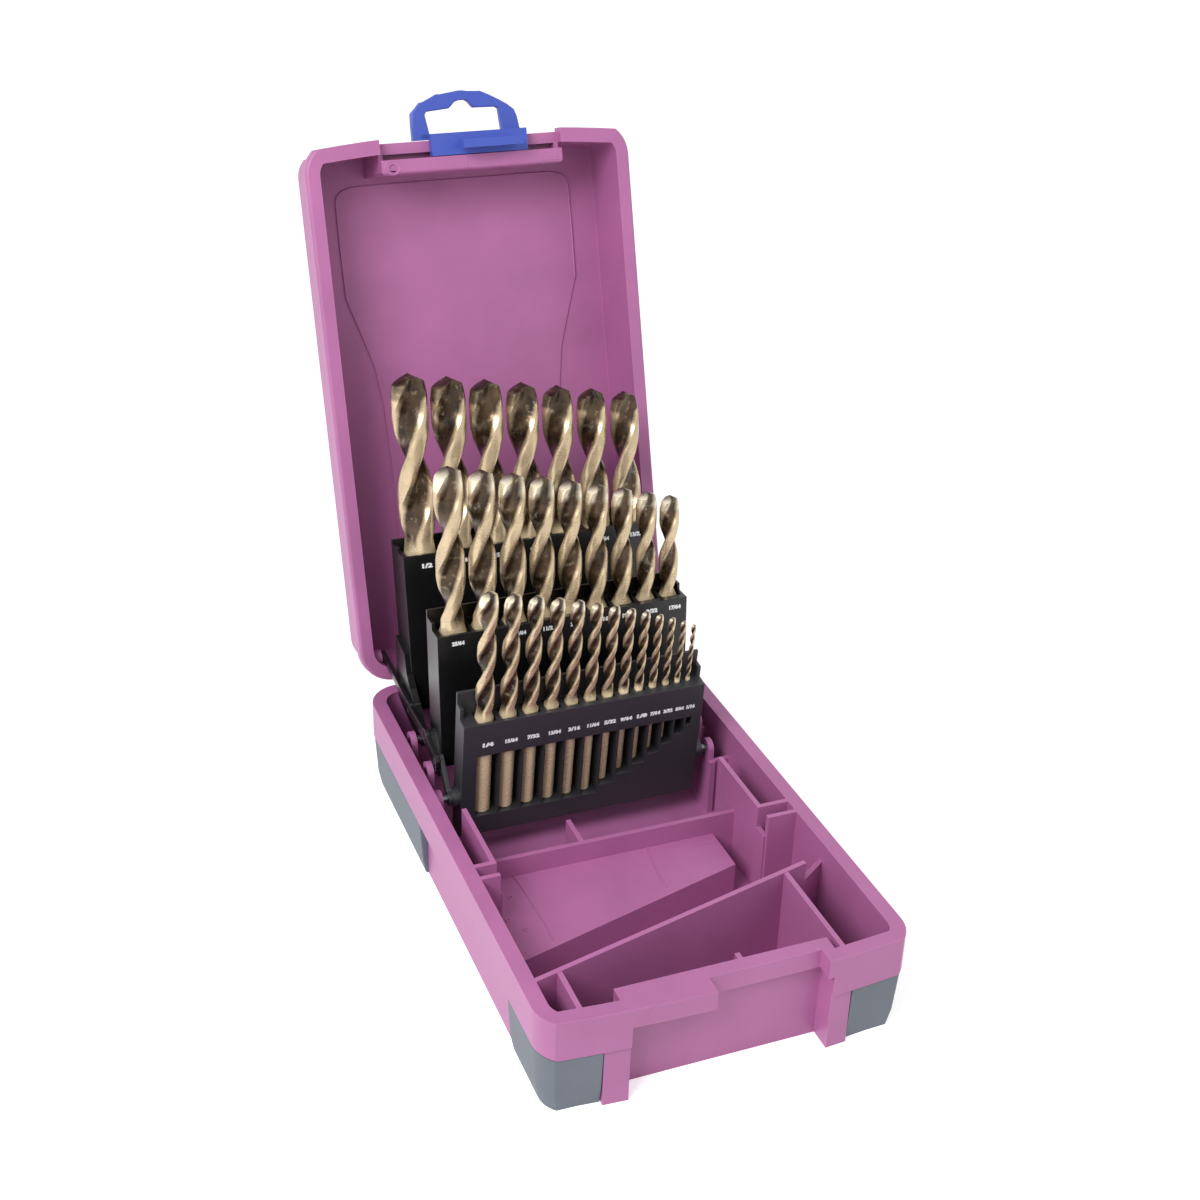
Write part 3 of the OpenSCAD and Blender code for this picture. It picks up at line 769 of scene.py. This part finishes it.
class BITCASE_OT_latch(bpy.types.Operator):
    """Dress the sliding latch and its hanging loop"""

    bl_idname = "bitcase.latch"
    bl_label = "Sliding latch"

    cut_y = -0.09805
    loop_x = 0.5
    loop_foot = -96.6
    loop_height = 6.5
    # Across the loop and up from its foot, from left to right
    loop_outside = (
        (-20, 0), (-20, 5), (-19.8, 9.0), (-17.9, 10.8), (-16.2, 12.6), (-15.3, 12.6), (-12.4, 13.9),
        (-9.8, 15.1), (-8.8, 15.0), (-5, 15.5), (-1.8, 15.9), (-0.2, 15.9), (1.2, 15.6), (4.8, 15.4),
        (6.2, 15.4), (9.6, 13.9), (12.8, 12.2), (15.9, 10.4), (18.4, 8.4), (19.3, 6.0), (20, 1.6), (20, 0),
    )
    loop_slot = (
        (-13.6, 1.2), (-14.8, 8.2), (-14.2, 9.3), (-5.8, 10.0), (-4.8, 10.8), (-3.6, 12.0), (-1.8, 12.6),
        (0.4, 12.6), (1.6, 11.8), (3.2, 9.8), (11.6, 9.6), (12.6, 8.9), (13.2, 1.2),
    )

    def execute(self, context):
        moulded_copy("latch_hanger", "latch", "latch", "latch", 0.0004, segments=3, shape=self.without_loop)
        self.loop()
        return {"FINISHED"}

    def without_loop(self, obj):
        """Cuts the plain loop off the slider."""
        obj.data.transform(LID.inverted())
        alone(obj)
        edit_mode()
        bpy.ops.mesh.select_all(action="SELECT")
        bpy.ops.mesh.bisect(plane_co=(0, self.cut_y, 0), plane_no=(0, -1, 0), clear_outer=True, use_fill=True)
        object_mode()
        obj.data.transform(LID)

    def loop(self):
        """The hanging loop: an arch with finger scallops outside and a peg notch inside."""
        edge = 0.00045
        outlines = [
            [(self.loop_x + x, self.loop_foot - up) for x, up in outline]
            for outline in (self.loop_outside, self.loop_slot)
        ]
        obj = lid_plate(
            "hanging_loop", outlines, self.loop_height, 0.00105, edge, bevel_resolution=2, offset=-edge
        )
        finish_piece(obj, "hanging_loop", "latch", "latch", smooth=40)


class BITCASE_OT_tiers(bpy.types.Operator):
    """Dress the three tiers of the rack and the link bars, and colour the pins"""

    bl_idname = "bitcase.tiers"
    bl_label = "Folding tiers"

    divider = 0.6
    bay_side = 0.1
    window_top = -13.5
    window_back = 2.4

    def execute(self, context):
        edge = context.scene.bitcase_rack.edge
        for t, tier in enumerate(TIERS):
            node, name, body = f"{tier}_tier", f"{tier}_rack_tier", f"{tier} tier"
            # The front tier takes the paler black with its painted sheen.
            shape, plastic = (self.wide_windows, "front rack") if t == FRONT else (None, "rack")
            moulded_copy(node, name, body, plastic, shape=shape, merge=1e-6, plain=True)
        for side in ("left", "right"):
            moulded_copy(f"link_bar_{side}", f"{side}_link_bar", f"{side} link", "rack", edge)
        for node in ("hinge_pins", "rack_axle_pins", "lid_link_pins"):
            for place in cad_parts[node].material_slots:
                place.material = material("pin")
        return {"FINISHED"}

    def bay_left(self, i):
        return bit_x(FRONT, i) - bit_size(FRONT, i) * INCH_64 / 2 - self.bay_side

    def window(self, i):
        """A block that fills one bay of the front tier up to the next thin divider."""
        left = self.bay_left(i)
        last = i == COUNT[FRONT] - 1
        right = 2 * bit_x(FRONT, i) - left if last else self.bay_left(i + 1) - self.divider
        low, top, deep = -seat(FRONT, i), self.window_top, TIER_T[FRONT]
        place = Vector(((left + right) / 2, self.window_back - deep / 2, (top + low) / 2)) * MM
        size = ((right - left) * MM, deep * MM, (top - low) * MM, 1)
        return block(tier_place(FRONT) @ Matrix.Translation(place) @ Matrix.Diagonal(size))

    def wide_windows(self, obj):
        """Opens the front bays out to thin dividers."""
        cutter = joined([self.window(i) for i in range(COUNT[FRONT])], into=-1)
        m = obj.modifiers.new("windows", "BOOLEAN")
        m.operation = "DIFFERENCE"
        m.solver = "EXACT"
        m.object = cutter
        apply_all(obj)
        bpy.data.objects.remove(cutter)


class BITCASE_OT_bits(bpy.types.Operator):
    """Model the 29 twist drill bits"""

    bl_idname = "bitcase.bits"
    bl_label = "Drill bits"

    # How far in the flute is drawn, as a share of the radius, from each angle on past the land
    flute = ((29, 0.93), (33, 0.8), (42, 0.78), (52, 0.82), (64, 0.9), (76, 0.95))
    flute_drawn_at = 0.5
    lead = 5.3
    point_slope = 1 / tan(radians(61))
    runout = 1.2
    chamfer = 0.3
    # Which way the flutes face at the point, in degrees
    face = 35
    # The ground tip: its length in radii, and in each tier how much of its lands' brightness is left under
    # painted shade and how strong its painted highlight is
    ground_tip = 0.9
    tip_painted_shade = (0.45, 0.8, 1.0)
    tip_painted_highlight = (0.0, 0.9, 0.9)

    def execute(self, context):
        depth = context.scene.bitcase_rack.flute_depth / self.flute_drawn_at
        for t in range(len(TIERS)):
            for i in range(COUNT[t]):
                self.bit(t, i, depth)
        return {"FINISHED"}

    def bit(self, t, i, depth):
        """One bit, made with the foot of its flutes at the origin, then stood in its bay."""
        n = bit_size(t, i)
        r = n * INCH_64 / 2
        show = along(SHOW, t, i)
        run = show * 0.93 - r * 0.6
        turns = run / (self.lead * 2 * r)
        shank = seat(t, i) + show - run - r * self.point_slope - self.runout * r
        obj = self.section(r * MM, depth)
        self.twist(obj, turns, run * MM)
        self.grind_point(obj, r * MM, run * MM)
        self.add_shank(obj, r * MM, shank * MM)
        self.mark(obj, t, r * MM, run * MM)
        low = min(v.co.z for v in obj.data.vertices)
        spin = Matrix.Rotation(radians(self.face) - 2 * pi * turns, 4, "Z")
        place = Matrix.Translation((bit_x(t, i) * MM, 0, -seat(t, i) * MM - low))
        obj.data.transform(tier_place(t) @ place @ spin)
        node = f"bit_{n:02d}"
        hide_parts(node)
        finish_piece(obj, f"twist_bit_{n:02d}", node, "bit", smooth=38)

    def section(self, r, depth):
        """Outline of the fluted part: two lands with two hollow flutes between them."""
        bpy.ops.object.select_all(action="DESELECT")
        bpy.ops.mesh.primitive_circle_add(vertices=36, radius=r, fill_type="NOTHING", location=(0, 0, 0))
        obj = bpy.context.object
        for edge, size in self.flute:
            inward = 1 - (1 - size) * depth
            pick(obj, lambda co: edge < degrees(atan2(co.y, co.x)) % 180 < 180 - edge)
            bpy.ops.transform.resize(value=(inward, inward, 1), center_override=(0, 0, 0))
        object_mode()
        return obj

    def twist(self, obj, turns, run):
        """Twists the outline up the flutes."""
        m = obj.modifiers.new("flutes", "SCREW")
        m.axis = "Z"
        m.angle = 2 * pi * turns
        m.screw_offset = run
        m.steps = max(24, int(26 * turns))
        m.render_steps = m.steps
        m.use_merge_vertices = False
        apply_all(obj)

    def grind_point(self, obj, r, top):
        """A cone ground over the twisted end."""
        slope = self.point_slope
        pick(obj, lambda co: co.z > top - 1e-6)
        move(obj, lambda co: co + Vector((0, 0, (r - co.to_2d().length) * slope)))
        bpy.ops.mesh.extrude_region_move()
        bpy.ops.mesh.merge(type="CENTER")
        move(obj, lambda co: Vector((0, 0, top + r * slope)))

    def add_shank(self, obj, r, length):
        """The lowest outline run out to a full round, then straight down to a chamfered end."""
        chamfer = self.chamfer * MM
        pick(obj, lambda co: co.z < 1e-6)
        self.extrude_down(self.runout * r)
        move(obj, lambda co: (co.to_2d().normalized() * r).to_3d() + Vector((0, 0, co.z)))
        self.extrude_down(length - chamfer)
        self.extrude_down(chamfer)
        bpy.ops.transform.resize(value=(0.88, 0.88, 1), center_override=(0, 0, 0))
        bpy.ops.mesh.extrude_region_move()
        bpy.ops.mesh.merge(type="CENTER")
        bpy.ops.mesh.select_all(action="SELECT")
        bpy.ops.mesh.normals_make_consistent(inside=False)
        object_mode()

    def extrude_down(self, far):
        bpy.ops.mesh.extrude_region_move(TRANSFORM_OT_translate={"value": (0, 0, -far)})

    def mark(self, obj, t, r, top):
        """Marks lands, shank and ground tip for the finish: a land lies far out, a flute far in. On the
        ground tip the land mark is dimmed by painted shade and the tip mark holds a painted highlight, by
        tier.
        """
        for key in BIT_MARKS:
            obj.data.attributes.new(key, "FLOAT", "POINT")
        land, shank, tip = (obj.data.attributes[key].data for key in BIT_MARKS)
        for v in obj.data.vertices:
            out = v.co.to_2d().length / r
            plain = v.co.z < -0.5 * r
            ground = v.co.z > top - self.ground_tip * r
            value = 1.0 if plain else max(0.0, min(1.0, (out - 0.5) / 0.45))
            land[v.index].value = value * (self.tip_painted_shade[t] if ground else 1.0)
            shank[v.index].value = float(plain)
            tip[v.index].value = self.tip_painted_highlight[t] if ground else 0.0


class BITCASE_OT_numbers(bpy.types.Operator):
    """Add the size numbers to the three tiers"""

    bl_idname = "bitcase.numbers"
    bl_label = "Size numbers"

    # How far each tier's numbers stand below its row's top line
    drop = (4.2, 3.3, 9.0)
    widest = 4.4
    tallest = 1.7

    def execute(self, context):
        for t, tier in enumerate(TIERS):
            obj = joined([self.label(t, i) for i in range(COUNT[t])])
            finish_piece(obj, f"{tier}_size_numbers", f"{tier} tier", "ink", smooth=20)
        return {"FINISHED"}

    def label(self, t, i):
        """One bit's fraction, fitted between its neighbours on the tier's front."""
        bpy.ops.object.select_all(action="DESELECT")
        bpy.ops.object.text_add(location=(0, 0, 0))
        text = bpy.context.object.data
        text.body = fraction(bit_size(t, i))
        text.align_x = "CENTER"
        text.align_y = "CENTER"
        text.size = 1.0
        text.resolution_u = 2
        text.extrude = 0.02
        text.offset = 0.06
        bpy.ops.object.convert(target="MESH")
        obj = bpy.context.object
        pitch = bit_x(t, min(i + 1, COUNT[t] - 1)) - bit_x(t, min(i, COUNT[t] - 2))
        wide = min(0.8 * pitch, self.widest)
        span, tall = (self.extent(obj, axis) for axis in (0, 1))
        up = min(wide / span, self.tallest / tall)
        across = min(wide / span, 1.6 * up)
        front = -TIER_T[t] / 2 - 0.02
        place = Matrix.Translation(Vector((bit_x(t, i), front, -self.drop[t])) * MM)
        upright = Matrix.Rotation(pi / 2, 4, "X")
        size = Matrix.Diagonal((across * MM, up * MM, 2.5 * MM, 1))
        obj.data.transform(tier_place(t) @ place @ upright @ size)
        return obj

    def extent(self, obj, axis):
        places = [v.co[axis] for v in obj.data.vertices]
        return max(places) - min(places)


class BITCASE_OT_stage(bpy.types.Operator):
    """Set up the floor, the lights and the camera"""

    bl_idname = "bitcase.stage"
    bl_label = "Stage"

    # Metres: where the lamps stand and what they and the camera are aimed at
    key_place = (-0.59, -0.375, 0.73)
    key_target = (0, 0.10, 0.16)
    fill_place = (0.7, -0.3, 0.7)
    fill_target = (0, 0.03, 0.08)
    fill_share = 0.22
    camera_target = (-0.007344, 0, 0.112592)

    def execute(self, context):
        s = context.scene.bitcase_stage
        context.scene.view_settings.view_transform = "Standard"
        self.floor(s)
        self.lamp("key", self.key_place, 0.45, s.key, self.key_target)
        self.lamp("fill", self.fill_place, 0.8, s.key * self.fill_share, self.fill_target)
        self.sky(s)
        self.camera(s)
        return {"FINISHED"}

    def floor(self, s):
        """A pale floor that shows whiter than it is lit and keeps the shadow."""
        bpy.ops.object.select_all(action="DESELECT")
        bpy.ops.mesh.primitive_plane_add(size=6.0, location=(0, 0, 0))
        floor = bpy.context.object
        floor.name = "floor"
        t = Finish("pale floor")
        diffuse = t.mix(t.noise(30.0, 2.0, 0.5), shade(s.floor[:], 0.99), s.floor[:])
        lift = t.mix(t.seen(), (0, 0, 0), (s.lift,) * 3)
        t.feed(Base_Color=diffuse, Roughness=0.9, Emission_Color=lift, Emission_Strength=1.0)
        floor.data.materials.append(t.material)

    def lamp(self, name, place, size, power, target):
        bpy.ops.object.light_add(type="AREA", location=place)
        lamp = bpy.context.object
        lamp.name = name
        lamp.data.size = size
        lamp.data.energy = power
        aim = Vector(target) - Vector(place)
        lamp.rotation_euler = aim.to_track_quat("-Z", "Y").to_euler()

    def sky(self, s):
        """A sky that is seen white, and lights the part at its own strength."""
        world = bpy.data.worlds.new("studio")
        bpy.context.scene.world = world
        t = Tree(world)
        back = t.nodes["Background"]
        t.give(back.inputs["Color"], (1, 1, 1))
        level = t.node("ShaderNodeMapRange", {}, Value=t.seen(), To_Min=s.sky)["Result"]
        t.give(back.inputs["Strength"], level)

    def camera(self, s):
        """The photo's camera, from its angles round the target."""
        az, el, roll = s.azimuth, s.elevation, s.roll
        back = Vector((sin(az) * cos(el), -cos(az) * cos(el), sin(el)))
        right = back.cross(Vector((0, 0, 1))) * -1
        right.normalize()
        up = back.cross(right)
        side = right * cos(roll) + up * sin(roll)
        top = -right * sin(roll) + up * cos(roll)
        bpy.ops.object.camera_add()
        cam = bpy.context.object
        cam.name = "photo camera"
        turn = Matrix((side, top, back)).transposed().to_4x4()
        cam.matrix_world = Matrix.Translation(Vector(self.camera_target) + back * s.distance) @ turn
        cam.data.lens = s.lens
        cam.data.sensor_width = 36.0
        bpy.context.scene.camera = cam


class BITCASE_PT_panel(bpy.types.Panel):
    """Drill bit case pieces"""

    bl_idname = "BITCASE_PT_panel"
    bl_label = "Drill bit case"
    bl_space_type = "VIEW_3D"
    bl_region_type = "UI"
    bl_category = "Bit Case"

    def draw(self, context):
        for step in STEPS:
            self.layout.operator(step.bl_idname)
        for group in ("bitcase_shell", "bitcase_rack", "bitcase_stage"):
            box = self.layout.box()
            settings = getattr(context.scene, group)
            for key in settings.__annotations__:
                box.prop(settings, key)


SETTINGS = {
    "bitcase_shell": BITCASE_PG_shell,
    "bitcase_rack": BITCASE_PG_rack,
    "bitcase_stage": BITCASE_PG_stage,
}
STEPS = (
    BITCASE_OT_tray,
    BITCASE_OT_lid,
    BITCASE_OT_bumpers,
    BITCASE_OT_latch,
    BITCASE_OT_tiers,
    BITCASE_OT_bits,
    BITCASE_OT_numbers,
    BITCASE_OT_stage,
)


def register():
    for c in (*SETTINGS.values(), *STEPS, BITCASE_PT_panel):
        bpy.utils.register_class(c)
    for key, group in SETTINGS.items():
        setattr(bpy.types.Scene, key, bpy.props.PointerProperty(type=group))


def unregister():
    for key in SETTINGS:
        delattr(bpy.types.Scene, key)
    for c in reversed((*SETTINGS.values(), *STEPS, BITCASE_PT_panel)):
        bpy.utils.unregister_class(c)


def main():
    register()
    for step in STEPS:
        family, name = step.bl_idname.split(".")
        getattr(getattr(bpy.ops, family), name)()


if __name__ == "__main__":
    main()
